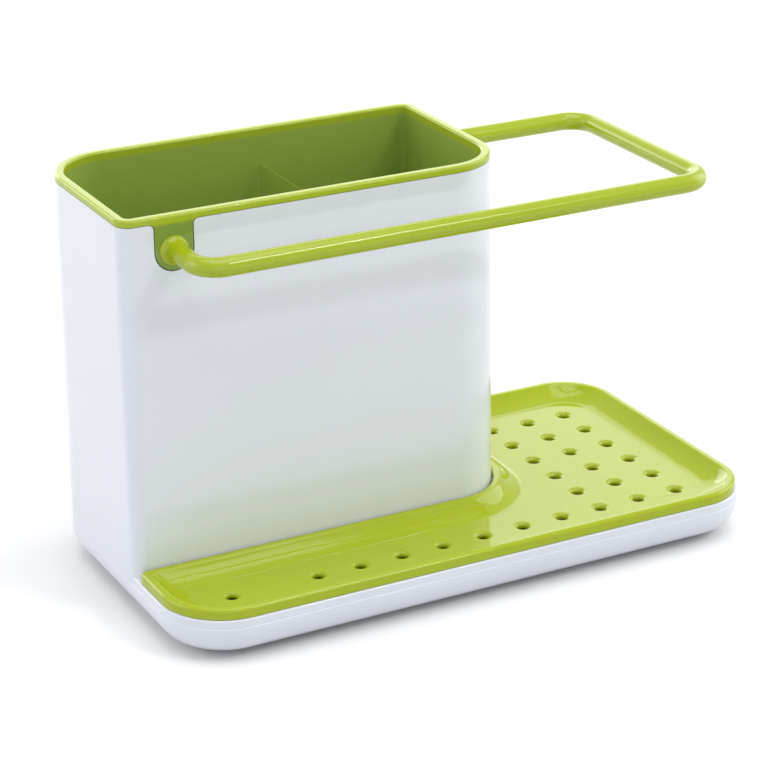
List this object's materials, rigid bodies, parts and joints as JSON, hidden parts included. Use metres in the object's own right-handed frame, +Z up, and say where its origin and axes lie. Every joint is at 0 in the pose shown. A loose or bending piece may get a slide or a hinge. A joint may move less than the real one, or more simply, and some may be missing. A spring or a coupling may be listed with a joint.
{
  "type": "sink caddy",
  "caption": "White sink-side caddy with a green lift-out divided bin, a cloth rail looping round the front and end, and a lift-off drip tray over a reservoir.",
  "frame": {"origin": "on the table, under the middle of the base", "axes": "+X along the front towards the open end of the tray, +Y from the tray's front strip to the back of the tower, +Z up"},
  "size_m": [0.208, 0.1108, 0.132],
  "materials": {
    "white_plastic": "polished white ABS",
    "green_plastic": "polished lime green ABS",
    "foot_rubber": "soft matt grey rubber"
  },
  "bodies": {
    "base": {"outer_body": "white_plastic", "foot_front_left": "foot_rubber", "foot_front_right": "foot_rubber", "foot_back_left": "foot_rubber", "foot_back_right": "foot_rubber"},
    "bin": {"utensil_insert": "green_plastic", "cloth_rail": "green_plastic"},
    "divider": {"divider": "green_plastic"},
    "tray": {"drip_tray": "green_plastic"}
  },
  "joints": [
    {"name": "bin_lift", "type": "slide", "parent": "base", "child": "bin", "axis": [0, 0, 1], "range_m": [0, 0.12]},
    {"name": "divider_lift", "type": "slide", "parent": "bin", "child": "divider", "axis": [0, 0, 1], "range_m": [0, 0.11]},
    {"name": "tray_lift", "type": "slide", "parent": "base", "child": "tray", "axis": [0, 0, 1], "range_m": [0, 0.06]}
  ]
}
